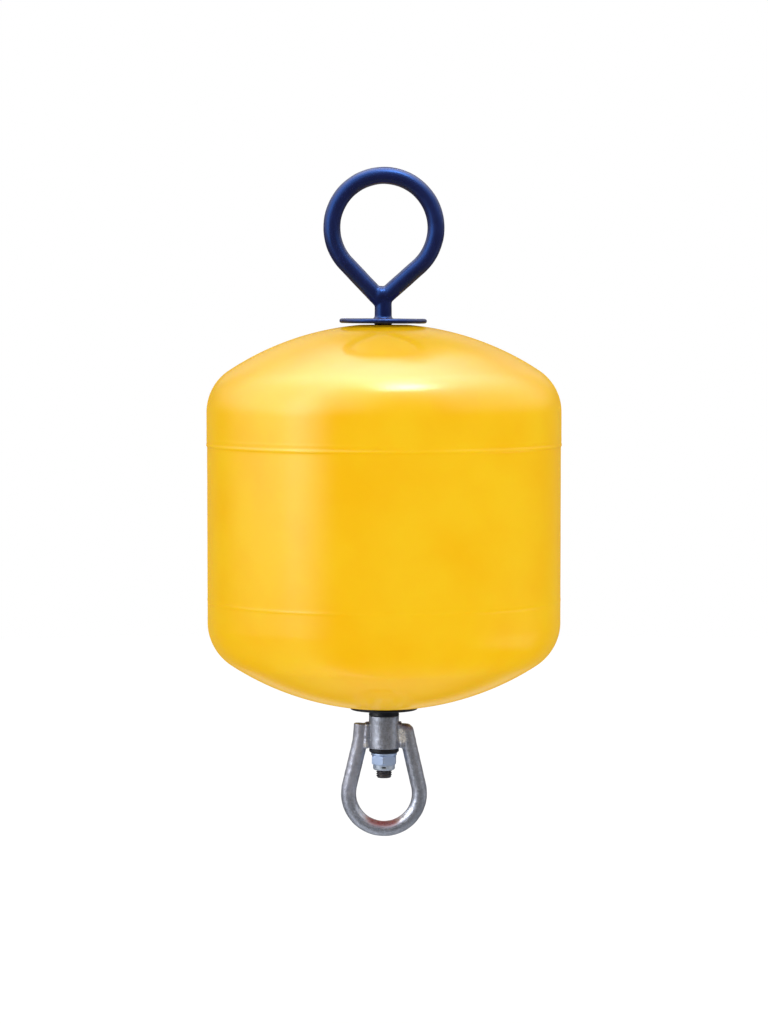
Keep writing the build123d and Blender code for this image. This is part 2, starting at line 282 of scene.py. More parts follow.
ripple_size = add(tree, "CombineXYZ", {"X": length, "Y": length, "Z": height})
ripple_place = add(tree, "VectorMath", (place, ripple_size), "DIVIDE")
slow_noise = {"Vector": ripple_place, "Scale": 1.0, "Detail": 1.0, "Roughness": 0.4}
ripple = add(tree, "TexNoise", slow_noise)
centred = add(tree, "Math", (ripple, 0.5), "SUBTRACT")
swell = add(tree, "Math", (centred, given["Ripple Depth"]), "MULTIPLY")
normal = add(tree, "InputNormal")
ripple_offset = add(tree, "VectorMath", {0: normal, "Scale": swell}, "SCALE")
rippled = add(tree, "SetPosition", {"Geometry": welded, "Offset": ripple_offset})
finish_tree(tree, rippled, given, result)
hull_tree = tree


def start_material(name, **values):
    """New material named for a real finish, its node tree and its shader with plain values set."""
    material = bpy.data.materials.new(name)
    material.use_nodes = True
    shader = material.node_tree.nodes["Principled BSDF"]
    for socket, value in values.items():
        shader.inputs[socket.replace("_", " ")].default_value = value
    return material, material.node_tree, shader


def mottle(tree, shader, size, detail, tones, roughness=()):
    """Drifts of a finish between two tones, and two roughnesses where given, by noise of a real size."""
    where = add(tree, "TexCoord").outputs["Object"]
    drift = add(tree, "TexNoise", {"Vector": where, "Scale": 1 / size, "Detail": detail})
    dark, light = (linear(tone) for tone in tones)
    tone = add(tree, "Mix", {"Factor": drift, "A": dark, "B": light}, data_type="RGBA")
    feed(tree, shader, {"Base Color": tone})
    if roughness:
        gloss = {"From Min": 0.3, "From Max": 0.7, "To Min": roughness[0], "To Max": roughness[1]}
        feed(tree, shader, {"Roughness": add(tree, "MapRange", {"Value": drift, **gloss})})
    return where, drift, tone


# Polyethylene moulded against a polished tool: even deep yellow, glossy, with slow drifts of tone and gloss.
polyethylene, tree, shader = start_material(
    "moulded_polyethylene",
    IOR=1.51,
    Specular_IOR_Level=0.35,
    Sheen_Weight=0.95,
    Sheen_Roughness=0.4,
    Sheen_Tint=linear("#ffc61a"),
    Subsurface_Weight=0.35,
    Subsurface_Radius=(1.0, 0.55, 0.1),
    Subsurface_Scale=14 * MM,
)
peel_size = 2.5 * MM
peel_depth = 0.012 * MM
yellows = ("#f9be06", "#fbc70c")
where, drift, tone = mottle(tree, shader, size=90 * MM, detail=3.0, tones=yellows, roughness=(0.13, 0.19))
depth = add(tree, "MapRange", {"Value": drift, "From Min": 0.35, "From Max": 0.65})
feed(tree, tone, {"Factor": depth})
peel = add(tree, "TexNoise", {"Vector": where, "Scale": 1 / peel_size, "Detail": 1.0})
bump = add(tree, "Bump", {"Strength": 0.35, "Distance": peel_depth, "Height": peel})
feed(tree, shader, {"Normal": bump})

hull_sizes = {**hull_lengths, "Segments": float_segments, "Material": polyethylene}
float_shell = make("float_shell", hull_tree, hull_sizes)
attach(float_shell, "buoy")
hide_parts("float")


# Eye bar and top flange: round steel bent to an eye, its end welded back on the bar, with a disc welded on
# below. The whole was then dipped, and the thick coat runs softly over the welds and round every edge.

bar_low, bar_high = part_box("eye_bar")
flange_low, flange_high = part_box("top_flange")
coated_radius = 10.85 * MM
ring_radius = (bar_high.x - bar_low.x) / 2 - coated_radius
ring_x = -0.1 * MM
ring_level = bar_high.z - coated_radius - ring_radius
left_lean = radians(43.6)
right_lean = radians(48.3)
neck_x = -1.1 * MM
flange_radius = (flange_high.x - flange_low.x) / 2
flange_thickness = 6 * MM
flange_tilt = radians(0.4)
foot_fillet = 3.4 * MM
neck_end = float_high.z - 12 * MM
coat_voxel = 0.95 * MM
weld_fill = 12.2 * MM
weld_rise = 6.0 * MM
weld_blend = 24 * MM
coat_sag = 0.2 * MM
sag_size = 16 * MM


def arc_points(centre, radius, start, end, steps):
    """Points (x, z) on an arc round a centre, from one angle to another."""
    spread = [start + (end - start) * step / steps for step in range(steps + 1)]
    return [(centre[0] + radius * cos(a), centre[1] + radius * sin(a)) for a in spread]


def rounded(corners, steps=5):
    """Outline points (radius, level) of a section from corners (radius, level, rounding)."""
    outline = []
    for number, (r, z, rounding) in enumerate(corners):
        here = Vector((r, z))
        if not rounding:
            outline.append(here)
            continue
        back = (Vector(corners[number - 1][:2]) - here).normalized()
        onward = (Vector(corners[(number + 1) % len(corners)][:2]) - here).normalized()
        half = back.angle(onward) / 2
        centre = here + (back + onward).normalized() * rounding / sin(half)
        first = here + back * rounding / tan(half) - centre
        last = here + onward * rounding / tan(half) - centre
        for step in range(steps + 1):
            outline.append(centre + first.lerp(last, step / steps).normalized() * rounding)
    return outline


def upright(outline):
    """Points at y = 0 from outline points (x or radius, level)."""
    return [(x, 0.0, z) for x, z in outline]


# Tree of a turned piece: its own section, turned, smooth and with its material.
tree, given, result = start_tree("turned_piece", Int=["Segments"], Material=["Material"])
blank = {label: given[label] for label in ("Geometry", "Segments")}
finish_tree(tree, add(tree, "Group", blank, node_tree=turned_tree), given, result)
piece_tree = tree

# Tree of a bent bar: a round section carried along its own line of points, with flat ends.
tree, given, result = start_tree("bent_bar", Float=["Bar Radius"], Int=["Sides"], Material=["Material"])
path = add(tree, "MeshToCurve", {"Mesh": given["Geometry"]})
circle = {"Resolution": given["Sides"], "Radius": given["Bar Radius"]}
round_bar = add(tree, "CurvePrimitiveCircle", circle, mode="RADIUS")
swept = add(tree, "CurveToMesh", {"Curve": path, "Profile Curve": round_bar, "Fill Caps": True})
finish_tree(tree, swept, given, result)
bar_tree = tree


def soften(piece, passes, group=""):
    """Smooth a piece, or only its points in a group."""
    smoothing = piece.modifiers.new("soften", "SMOOTH")
    smoothing.factor = 0.5
    smoothing.iterations = passes
    smoothing.vertex_group = group
    return settle(piece)


def fuse(name, shapes, voxel, passes):
    """One skin over several closed shapes, as a remeshed and lightly smoothed piece."""
    together = bmesh.new()
    for shape in shapes:
        together.from_mesh(shape.data)
        bpy.data.objects.remove(shape)
    mesh = bpy.data.meshes.new(name)
    together.to_mesh(mesh)
    together.free()
    piece = new_object(name, mesh)
    skin = piece.modifiers.new("skin", "REMESH")
    skin.mode = "VOXEL"
    skin.voxel_size = voxel
    skin.use_smooth_shade = True
    return soften(piece, passes)


def soften_where(piece, weights, passes):
    """Smooth a piece further where its weights say so."""
    group = piece.vertex_groups.new(name="soft")
    for number in np.flatnonzero(weights > 0.01):
        group.add([int(number)], float(weights[number]), "REPLACE")
    soften(piece, passes, group.name)
    piece.vertex_groups.clear()


def coordinates(piece):
    """Vertex positions of a piece as an array."""
    place = np.empty(len(piece.data.vertices) * 3)
    piece.data.vertices.foreach_get("co", place)
    return place.reshape(-1, 3)


def move_points(piece, place):
    """Give a piece's vertices new positions."""
    piece.data.vertices.foreach_set("co", place.ravel())
    piece.data.update()


def lump(piece, depth, size):
    """Raise and lower a piece's skin by noise of a given depth and size."""
    place = coordinates(piece)
    normals = np.empty(place.size)
    piece.data.vertex_normals.foreach_get("vector", normals)
    swell = np.array([noise.noise(point) for point in place / size])
    move_points(piece, place + normals.reshape(-1, 3) * depth * swell[:, None])


def fade(value, full, gone):
    """Weight that goes smoothly from 1 at the full value to 0 at the gone one, whichever is larger."""
    share = np.clip((gone - value) / (gone - full), 0, 1)
    return share * share * (3 - 2 * share)


# Thick dip coat of polyvinyl chloride: dark navy, wet gloss with a blue cast, and slow sags.
dip_coat, tree, shader = start_material(
    "dipped_vinyl", IOR=1.54, Specular_Tint=linear("#3c8eff"), Specular_IOR_Level=0.45
)
skin_size = 3.0 * MM
skin_depth = 0.02 * MM
navies = ("#171939", "#1c1e46")
where = mottle(tree, shader, size=22 * MM, detail=3.0, tones=navies, roughness=(0.24, 0.34))[0]
skin = add(tree, "TexNoise", {"Vector": where, "Scale": 1 / skin_size, "Detail": 1.0})
bump = add(tree, "Bump", {"Strength": 0.2, "Distance": skin_depth, "Height": skin})
feed(tree, shader, {"Normal": bump})

# The legs are tangents to the ring and meet a little to the left of the bar's axis.
meet_rise = ring_radius * (cos(left_lean) + cos(right_lean)) / sin(left_lean + right_lean)
meet_x = ring_x - ring_radius * (sin(right_lean) - sin(left_lean)) / sin(left_lean + right_lean)
meet = Vector((meet_x, 0, ring_level - meet_rise))
eye_arc = arc_points((ring_x, ring_level), ring_radius, pi + left_lean, -right_lean, steps=120)
eye_line = [(meet.x, meet.z), *eye_arc, (meet.x, meet.z)]
eye_loop = make("eye_loop", bar_tree, {"Bar Radius": coated_radius, "Sides": 48}, upright(eye_line))
flange_top = flange_low.z + flange_thickness
flange_edge = 0.49 * flange_thickness
neck_corners = [
    (0, neck_end, 0),
    (coated_radius, neck_end, 0),
    (coated_radius, flange_low.z, 0),
    (flange_radius, flange_low.z, flange_edge),
    (flange_radius, flange_top, flange_edge),
    (coated_radius, flange_top, foot_fillet),
    (coated_radius, meet.z, 0),
    (0, meet.z, 0),
]
neck = make("neck", piece_tree, {"Segments": 96}, upright(rounded(neck_corners, steps=8)))
neck.data.transform(
    Matrix.Translation((neck_x, 0, flange_top))
    @ Matrix.Rotation(flange_tilt, 4, "Y")
    @ Matrix.Translation((0, 0, -flange_top))
)
weld_ball = arc_points((0, meet.z + weld_rise), weld_fill, -pi / 2, pi / 2, steps=24)
weld = make("weld", piece_tree, {"Segments": 48}, upright(weld_ball))
weld.data.transform(Matrix.Translation((meet.x, 0, 0)))
coated_eye = fuse("coated_eye", [eye_loop, neck, weld], coat_voxel, passes=3)
to_meet = np.linalg.norm(coordinates(coated_eye) - np.array(meet), axis=1)
soften_where(coated_eye, fade(to_meet, 0.6 * weld_blend, weld_blend), passes=14)
lump(coated_eye, coat_sag, sag_size)
coated_eye.data.materials.clear()
coated_eye.data.materials.append(dip_coat)
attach(coated_eye, "buoy")
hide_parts("eye_bar", "top_flange")


# Bar below the coat: the same round steel runs down through the float, bushes and swivel tube, and is dark
# with oil and oxide. Its end has an M20 thread, cut from the top of the nut down.

shank_radius = 10 * MM
nut_low, nut_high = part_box("lock_nut")
thread_pitch = 2.5 * MM
thread_depth = 1.35 * MM
thread_top = nut_high.z
end_chamfer = 1.8 * MM
thread_row = thread_pitch / 12
root_share = 0.06
crest_share = 0.4


def read_blank(tree, given):
    """Turned blank in a tree, its points' coordinates and angle, and their spoke and its length."""
    blank = {label: given[label] for label in ("Geometry", "Segments")}
    turned = add(tree, "Group", blank, node_tree=turned_tree)
    parts = add(tree, "SeparateXYZ", {"Vector": add(tree, "InputPosition")}).outputs
    angle = add(tree, "Math", (parts["Y"], parts["X"]), "ARCTAN2")
    spoke = add(tree, "CombineXYZ", {"X": parts["X"], "Y": parts["Y"]})
    return turned, parts, angle, spoke, add(tree, "VectorMath", (spoke,), "LENGTH")


def cut_blank(tree, turned, parts, spoke, radius, chosen=True):
    """Turned blank with its chosen points moved along their spokes to a radius."""
    outward = add(tree, "VectorMath", (spoke,), "NORMALIZE")
    cut_back = add(tree, "VectorMath", {0: outward, "Scale": radius}, "SCALE")
    level = add(tree, "CombineXYZ", {"Z": parts["Z"]})
    moved = add(tree, "VectorMath", (cut_back, level), "ADD")
    return add(tree, "SetPosition", {"Geometry": turned, "Selection": chosen, "Position": moved})


# Tree of a threaded bar: turned blank, its radius cut back along a helix below the thread's start.
thread_lengths = ["Bar Radius", "Pitch", "Depth", "Thread Top"]
tree, given, result = start_tree(
    "threaded_bar", Float=thread_lengths, Int=["Segments"], Material=["Material"]
)
turned, parts, angle, spoke, spoke_length = read_blank(tree, given)
turns = add(tree, "Math", (angle, 2 * pi), "DIVIDE")
pitches = add(tree, "Math", (parts["Z"], given["Pitch"]), "DIVIDE")
phase = add(tree, "Math", (pitches, turns), "SUBTRACT")
wave = add(tree, "Math", (phase, 0.5), "PINGPONG")
groove = {"From Min": root_share, "From Max": crest_share, "To Min": 1.0, "To Max": 0.0}
flank = add(tree, "MapRange", {"Value": wave, **groove})
cut = add(tree, "Math", (flank, given["Depth"]), "MULTIPLY")
crest = add(tree, "Math", (given["Bar Radius"], cut), "SUBTRACT")
limited = add(tree, "Math", (crest, spoke_length), "MINIMUM")
below = add(tree, "Math", (parts["Z"], given["Thread Top"]), "LESS_THAN")
finish_tree(tree, cut_blank(tree, turned, parts, spoke, limited, below), given, result)
thread_tree = tree

# Oiled black steel: dark grey metal, half dull, blotched by the oil.
black_steel, tree, shader = start_material("oiled_black_steel", Metallic=0.55)
mottle(tree, shader, size=4 * MM, detail=4.0, tones=("#3c3b40", "#59575c"), roughness=(0.38, 0.55))

thread_foot = bar_low.z + end_chamfer
thread_rows = int((thread_top - thread_foot) / thread_row)
bar_outline = [(0, bar_low.z), (shank_radius - end_chamfer, bar_low.z)]
bar_outline += [(shank_radius, thread_foot + row * thread_row) for row in range(thread_rows + 1)]
bar_outline += [(shank_radius, neck_end), (0, neck_end)]
bar_sizes = {
    "Bar Radius": shank_radius,
    "Pitch": thread_pitch,
    "Depth": thread_depth,
    "Thread Top": thread_top,
    "Segments": 72,
    "Material": black_steel,
}
threaded_bar = make("threaded_bar", thread_tree, bar_sizes, upright(bar_outline))
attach(threaded_bar, "buoy")
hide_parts("eye_bar")


# Flanged bush: turned black nylon between the float and the swivel tube, with a wide disc that spreads the
# load, a collar that flares a little to the tube, and a sleeve down inside it.

bush_low, bush_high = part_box("flanged_bush")
tube_low, tube_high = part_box("swivel_tube")
disc_radius = (bush_high.x - bush_low.x) / 2
disc_bottom = bush_high.z - 5.2 * MM
disc_edge = 1.6 * MM
collar_radius = 18.2 * MM
collar_fillet = 0.8 * MM
collar_end_radius = 19.5 * MM
running_gap = 0.3 * MM
collar_end = tube_high.z + running_gap
sleeve_radius = 13.1 * MM
bush_bore = 10.1 * MM
break_edge = 0.4 * MM
crisp_angle = radians(40)


def turn_piece(name, corners, material, segments=96):
    """Turned piece from the corners of its section, with its edges kept crisp."""
    sizes = {"Segments": segments, "Material": material}
    piece = make(name, piece_tree, sizes, upright(rounded(corners)))
    piece.data.set_sharp_from_angle(angle=crisp_angle)
    return piece


# Turned nylon: black with a blue cast, half dull, with rings left by the tool, drawn coarser than real ones.
nylon, tree, shader = start_material("turned_black_nylon", IOR=1.53, Specular_IOR_Level=0.35)
tool_ring = 0.8 * MM
ring_depth = 0.03 * MM
blacks = ("#0c1018", "#161a25")
where = mottle(tree, shader, size=5 * MM, detail=4.0, tones=blacks, roughness=(0.34, 0.5))[0]
wave = {"Vector": where, "Scale": pi / (10 * tool_ring), "Distortion": 0.4}
rings = add(tree, "TexWave", wave, wave_type="BANDS", bands_direction="Z")
bump = add(tree, "Bump", {"Strength": 0.2, "Distance": ring_depth, "Height": rings.outputs["Fac"]})
feed(tree, shader, {"Normal": bump})

bush_corners = [
    (bush_bore, bush_high.z, 0),
    (disc_radius, bush_high.z, break_edge),
    (disc_radius, disc_bottom, disc_edge),
    (collar_radius, disc_bottom, collar_fillet),
    (collar_end_radius, collar_end, break_edge),
    (sleeve_radius, collar_end, 0),
    (sleeve_radius, bush_low.z, break_edge),
    (bush_bore, bush_low.z, 0),
    (bush_bore, bush_high.z, 0),
]
flanged_bush = turn_piece("flanged_bush_turned", bush_corners, nylon)
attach(flanged_bush, "buoy")
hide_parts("flanged_bush")


# Swivel eye: a thick tube that turns on the bushes, a bar bent to a loop and welded to its sides, all hot-dip
# galvanised. The left arm was set upright and kinked, the right one leans all the way, and their tops are
# cut flat.

loop_low, loop_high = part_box("swivel_loop")
tube_radius = (tube_high.x - tube_low.x) / 2
tube_bore = 13.4 * MM
tube_edge = 0.8 * MM
loop_bar = (loop_high.y - loop_low.y) / 2
loop_reach = (loop_high.x - loop_low.x) / 2 - loop_bar
loop_level = loop_low.z + loop_bar + loop_reach
arm_top = loop_high.z
left_arm = Vector((-28.6 * MM, arm_top))
left_kink = Vector((-30.2 * MM, -137 * MM))
right_arm = Vector((26.0 * MM, arm_top))
bend_start = 0.8
bend_end = 0.1
zinc_voxel = 0.62 * MM
weld_bead = 4.2 * MM
weld_step = 1.5 * MM
weld_seed = 4
weld_foot = tube_low.z + 4.5 * MM
weld_head = arm_top - 2.2 * MM
weld_sides = ((-22.4 * MM, -21.4 * MM), (22.6 * MM, 20.6 * MM))
weld_half_gap = 6.5 * MM
zinc_lump = 0.22 * MM
zinc_lump_size = 6 * MM


def tangent_angle(start, centre, radius, side):
    """Angle on a circle where the tangent from a start point touches it, on the given side."""
    away = start - centre
    half = asin(radius / away.length)
    return atan2(away.y, away.x) + side * (pi / 2 - half)


loop_centre = Vector((0.0, loop_level))
left_touch = tangent_angle(left_kink, loop_centre, loop_reach, 1)
right_touch = tangent_angle(right_arm, loop_centre, loop_reach, -1)
loop_arc = arc_points(loop_centre, loop_reach, left_touch, right_touch + 2 * pi, steps=110)
kink_start = left_arm.lerp(left_kink, bend_start)
kink_end = left_kink.lerp(Vector(loop_arc[0]), bend_end)
kink = [kink_start.lerp(left_kink, t).lerp(left_kink.lerp(kink_end, t), t) for t in (0, 0.25, 0.5, 0.75, 1)]
loop_line = [left_arm, *kink, *loop_arc, right_arm]
loop = make("loop", bar_tree, {"Bar Radius": loop_bar, "Sides": 56}, upright(loop_line))
tube_corners = [
    (tube_bore, tube_high.z, tube_edge),
    (tube_radius, tube_high.z, tube_edge),
    (tube_radius, tube_low.z, tube_edge),
    (tube_bore, tube_low.z, tube_edge),
]
tube_outline = rounded(tube_corners)
tube = make("tube", piece_tree, {"Segments": 96}, upright(tube_outline + tube_outline[:1]))

# Tree of a weld bead: overlapping drops of metal along its own line of points, each of a slightly other size.
bead_lengths = ["Drop Radius", "Spread"]
tree, given, result = start_tree("weld_bead", Float=bead_lengths, Int=["Seed"], Material=["Material"])
drop_mesh = add(tree, "MeshIcoSphere", {"Radius": given["Drop Radius"], "Subdivisions": 3})
least = add(tree, "Math", (1.0, given["Spread"]), "SUBTRACT")
most = add(tree, "Math", (1.0, given["Spread"]), "ADD")
sizes = {"Min": least, "Max": most, "Seed": given["Seed"]}
drop_size = add(tree, "RandomValue", sizes, data_type="FLOAT")
row = {"Points": given["Geometry"], "Instance": drop_mesh, "Scale": drop_size}
finish_tree(tree, add(tree, "InstanceOnPoints", row), given, result)
bead_tree = tree

weld_count = int((weld_head - weld_foot) / weld_step)
weld_lines = []
for foot_x, head_x in weld_sides:
    for y in (-weld_half_gap, weld_half_gap):
        foot = Vector((foot_x, y, weld_foot))
        head = Vector((head_x, y, weld_head))
        weld_lines.append([foot.lerp(head, step / weld_count) for step in range(weld_count + 1)])
    for x, z in ((head_x, weld_head), (foot_x, weld_foot)):
        weld_lines.append([(x, step * weld_step, z) for step in (-2, -1, 0, 1, 2)])
beads = []
for number, line in enumerate(weld_lines):
    sizes = {"Drop Radius": weld_bead, "Spread": 0.12, "Seed": weld_seed + number}
    beads.append(make("bead", bead_tree, sizes, line))
swivel_eye = fuse("swivel_eye", [loop, tube] + beads, zinc_voxel, passes=3)


def to_nearest(place, points):
    """Distance of each place to the nearest of several points."""
    return np.min(np.linalg.norm(place[:, None, :] - np.array(points)[None, :, :], axis=2), axis=1)


# The weld runs softly into the tube, and both arms' cut ends are soft too.
place = coordinates(swivel_eye)
to_weld = to_nearest(place, [tuple(point) for line in weld_lines for point in line])
to_end = to_nearest(place, upright((left_arm, right_arm)))
soft = np.maximum(fade(to_weld, weld_bead, 1.6 * weld_bead), fade(to_end, loop_bar, 1.3 * loop_bar))
soften_where(swivel_eye, soft, passes=8)

# The right arm's cut end is level near the tube and falls off round its outer edge.
cut_x = 24 * MM
cut_level = arm_top - 0.4 * MM
cut_flat = 6 * MM
cut_fall = 10 * MM
cut_inside = 22 * MM
cut_foot = arm_top - 16 * MM
place = coordinates(swivel_eye)
from_cut = np.hypot(np.maximum(place[:, 0] - cut_x, 0), place[:, 1])
cut_surface = cut_level - np.maximum(from_cut - cut_flat, 0) ** 2 / cut_fall
on_right_arm = (place[:, 0] > cut_inside) & (place[:, 2] > cut_foot)
place[:, 2] = np.where(on_right_arm, np.minimum(place[:, 2], cut_surface), place[:, 2])
move_points(swivel_eye, place)
soften_where(swivel_eye, on_right_arm * fade(arm_top - place[:, 2], 4 * MM, 10 * MM), passes=5)
lump(swivel_eye, zinc_lump, zinc_lump_size)

# Where the dull places, the chalky welds, the rust and a pit's painted shade are: x, y, z and reach in
# millimetres.
dull_spots = (
    (-29, -8, -121, 13),
    (-31, -8, -132, 13),
    (-22.5, -9, -127, 8),
    (-34, -8, -144, 13),
    (-38, -8, -158, 13),
    (-42, -8, -174, 15),
    (-46, -7, -194, 17),
)
chalk_spots = (
    (22, -10, -126, 7.5),
    (23.5, -10, -134, 8),
    (-23, -9, -142, 4.5),
)
rust_and_pit_shade_spots = (
    (23, -6, -115, 9),
    (28, -6, -116.5, 10),
    (33, -5, -119, 8),
    (27, 6, -115, 10),
    (-23, -3, -113.5, 7),
    (-30, -3, -113, 8),
    (-28, 6, -113.5, 8),
    # Painted shade: this small spot darkens a pit in the right weld, in the rust colour.
    (22.5, -9, -143, 1.8),
)


def spots(place, table):
    """Weights that fade away from each of several spots (x, y, z, reach), in millimetres."""
    weights = np.zeros(len(place))
    for x, y, z, reach in table:
        away = np.linalg.norm(place - np.array((x, y, z)) * MM, axis=1)
        weights = np.maximum(weights, fade(away, 0.4 * reach * MM, reach * MM))
    return weights


def mark(piece, label, weights):
    """Keep weights on a piece's vertices under a label, for its material to read."""
    layer = piece.data.attributes.new(label, "FLOAT", "POINT")
    layer.data.foreach_set("value", weights.ravel().astype(np.float32))


# The red stain lies on the loop's seat, along the inner side of its lowest part.
stain_x = -2 * MM
stain_radii = (38 * MM, 46 * MM)
stain_widths = (13 * MM, 27 * MM)
from_loop = np.hypot(place[:, 0], place[:, 2] - loop_level)
stain = fade(from_loop, *stain_radii) * fade(np.abs(place[:, 0] - stain_x), *stain_widths)
stain *= place[:, 2] < loop_level
mark(swivel_eye, "dull", spots(place, dull_spots))
mark(swivel_eye, "chalk", spots(place, chalk_spots))
mark(swivel_eye, "rust_and_pit_shade", spots(place, rust_and_pit_shade_spots))
mark(swivel_eye, "stain", stain)

# Hot-dip zinc, weathered: mottled blue-grey metal with grit drawn coarse enough to show, dull in places,
# chalky on the welds, rust where it is thin, painted shade in a weld pit and a red stain on the loop's seat.
zinc, tree, shader = start_material("weathered_hot_dip_zinc")
cloud_size = 4 * MM
grit_depth = 0.16 * MM
greys = ("#8c919e", "#bec4d4")
where, grit, tone = mottle(tree, shader, size=1.5 * MM, detail=3.0, tones=greys, roughness=(0.3, 0.44))
cloud = add(tree, "TexNoise", {"Vector": where, "Scale": 1 / cloud_size, "Detail": 6.0})
speckle = add(tree, "Math", (cloud, grit), "ADD")
patch = add(tree, "MapRange", {"Value": speckle, "From Min": 0.65, "From Max": 1.35})
feed(tree, tone, {"Factor": patch})

# Each covering has its colour, and its share where the grit lets it lie thin and where it lies thick.
covered = 0.0
for label, colour, thin, thick in (
    ("dull", "#868899", 0.2, 0.75),
    ("chalk", "#d4d2cd", 0.1, 0.95),
    # The rust colour also paints the shade of a pit in the right weld.
    ("rust_and_pit_shade", "#553f47", 0.55, 1.0),
    ("stain", "#7a2840", 0.6, 0.95),
):
    mask = add(tree, "Attribute", attribute_name=label).outputs["Fac"]
    by_grit = {"From Min": 0.38, "From Max": 0.58, "To Min": thin, "To Max": thick}
    broken = add(tree, "MapRange", {"Value": grit, **by_grit})
    amount = add(tree, "Math", (mask, broken), "MULTIPLY")
    tone = add(tree, "Mix", {"Factor": amount, "A": tone, "B": linear(colour)}, data_type="RGBA")
    covered = add(tree, "Math", (covered, amount), "MAXIMUM")
bare = add(tree, "MapRange", {"Value": covered, "To Min": 0.75, "To Max": 0.1})
bump = add(tree, "Bump", {"Strength": 0.6, "Distance": grit_depth, "Height": grit})
feed(tree, shader, {"Base Color": tone, "Metallic": bare, "Normal": bump})

swivel_eye.data.materials.clear()
swivel_eye.data.materials.append(zinc)
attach(swivel_eye, "swivel")
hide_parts("swivel_tube", "swivel_loop", "swivel_welds")


# Thrust bush: turned black nylon below the swivel tube, which rests on it. Its lower edge is bevelled,
# and its sleeve stands up inside the tube.

thrust_low, thrust_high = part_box("thrust_bush")
thrust_radius = (thrust_high.x - thrust_low.x) / 2
thrust_top = tube_low.z - running_gap
thrust_bevel = 2.0 * MM
bevel_edge = 0.5 * MM
seat_edge = 0.6 * MM
thrust_corners = [
    (bush_bore, thrust_high.z, 0),
    (sleeve_radius, thrust_high.z, break_edge),
    (sleeve_radius, thrust_top, 0),
    (thrust_radius, thrust_top, seat_edge),
    (thrust_radius, thrust_low.z + thrust_bevel, bevel_edge),
    (thrust_radius - thrust_bevel, thrust_low.z, break_edge),
    (bush_bore, thrust_low.z, 0),
    (bush_bore, thrust_high.z, 0),
]
thrust_bush = turn_piece("thrust_bush_turned", thrust_corners, nylon)
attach(thrust_bush, "buoy")
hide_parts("thrust_bush")


# Plain washer under the nut: stamped steel, so its upper edge is rounded over, and bright zinc plated.
# The nut holds it against the thrust bush.

washer_low, washer_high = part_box("end_washer")
washer_radius = (washer_high.x - washer_low.x) / 2
washer_bore = 10.5 * MM
stamped_edge = 0.9 * MM
sheared_edge = 0.2 * MM

# Bright zinc plate with clear blue chromate: smooth cool metal with faint smears, paler on the pressed crown,
# and painted shade darkening the nut's nicks.
plate, tree, shader = start_material("blue_chromated_zinc", Metallic=0.5)
crown_from = nut_low.z + 8.5 * MM
crown_full = nut_low.z + 6 * MM
blues = ("#a2b7db", "#aec3e8")
where, _, tone = mottle(tree, shader, size=14 * MM, detail=2.0, tones=blues, roughness=(0.3, 0.38))
level = add(tree, "SeparateXYZ", {"Vector": where}).outputs["Z"]
on_crown = add(tree, "MapRange", {"Value": level, "From Min": crown_from, "From Max": crown_full})
# Painted shade: the nicks' weight darkens the plate colour there to near black.
nick_shade = add(tree, "Attribute", attribute_name="nick_and_shade").outputs["Fac"]
for amount, colour in ((on_crown, "#b4c1d4"), (nick_shade, "#181b1f")):
    tone = add(tree, "Mix", {"Factor": amount, "A": tone, "B": linear(colour)}, data_type="RGBA")
feed(tree, shader, {"Base Color": tone})

washer_corners = [
    (washer_bore, washer_high.z, 0),
    (washer_radius, washer_high.z, stamped_edge),
    (washer_radius, washer_low.z, sheared_edge),
    (washer_bore, washer_low.z, sheared_edge),
    (washer_bore, washer_high.z, 0),
]
washer = turn_piece("washer_plated", washer_corners, plate)
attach(washer, "buoy")
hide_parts("end_washer")


# Lock nut: cold-formed hexagon with turned bevels and a round crown, closed in over a nylon ring and nicked
# at three places, zinc plated like the washer. A corner faces the front.

HEX_SIDES = 6
NICKS = 3
half_flats = (nut_high.x - nut_low.x) / 2
corner_radius = half_flats / cos(pi / HEX_SIDES)
corner_reach = corner_radius - half_flats
corner_soft = 0.25 * MM
hex_low = nut_high.z - 11.8 * MM
nut_turn = radians(-4)
nut_bore = 10.1 * MM
face_inset = 0.6 * MM
bevel = corner_reach * tan(radians(30)) + 0.5 * MM
bevel_steps = 6
crown_outside = 14.0 * MM
crown_mouth = 11.3 * MM
crown_edge = 2.6 * MM
ring_groove = crown_mouth + 0.8 * MM
ring_low, ring_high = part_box("nut_ring")
nick_level = nut_low.z + 4.2 * MM
nick_half_width = 4.2 * MM
nick_half_height = 1.2 * MM
nick_depth = 1.5 * MM
nick_floor = 0.55
crown_lip = crown_mouth + 1.0 * MM
nut_row = 0.35 * MM
crown_rows = 20

# Tree of the nut: its turned blank cut back to six flats.
tree, given, result = start_tree("hexagon_nut", Float=["Half Flats"], Int=["Segments"], Material=["Material"])
turned, parts, angle, spoke, spoke_length = read_blank(tree, given)
sector = add(tree, "Math", (angle, pi / HEX_SIDES), "PINGPONG")
slope = add(tree, "Math", (sector,), "COSINE")
flats = add(tree, "Math", (given["Half Flats"], slope), "DIVIDE")
limited = add(tree, "Math", (flats, spoke_length, corner_soft), "SMOOTH_MIN")
finish_tree(tree, cut_blank(tree, turned, parts, spoke, limited), given, result)
hex_tree = tree

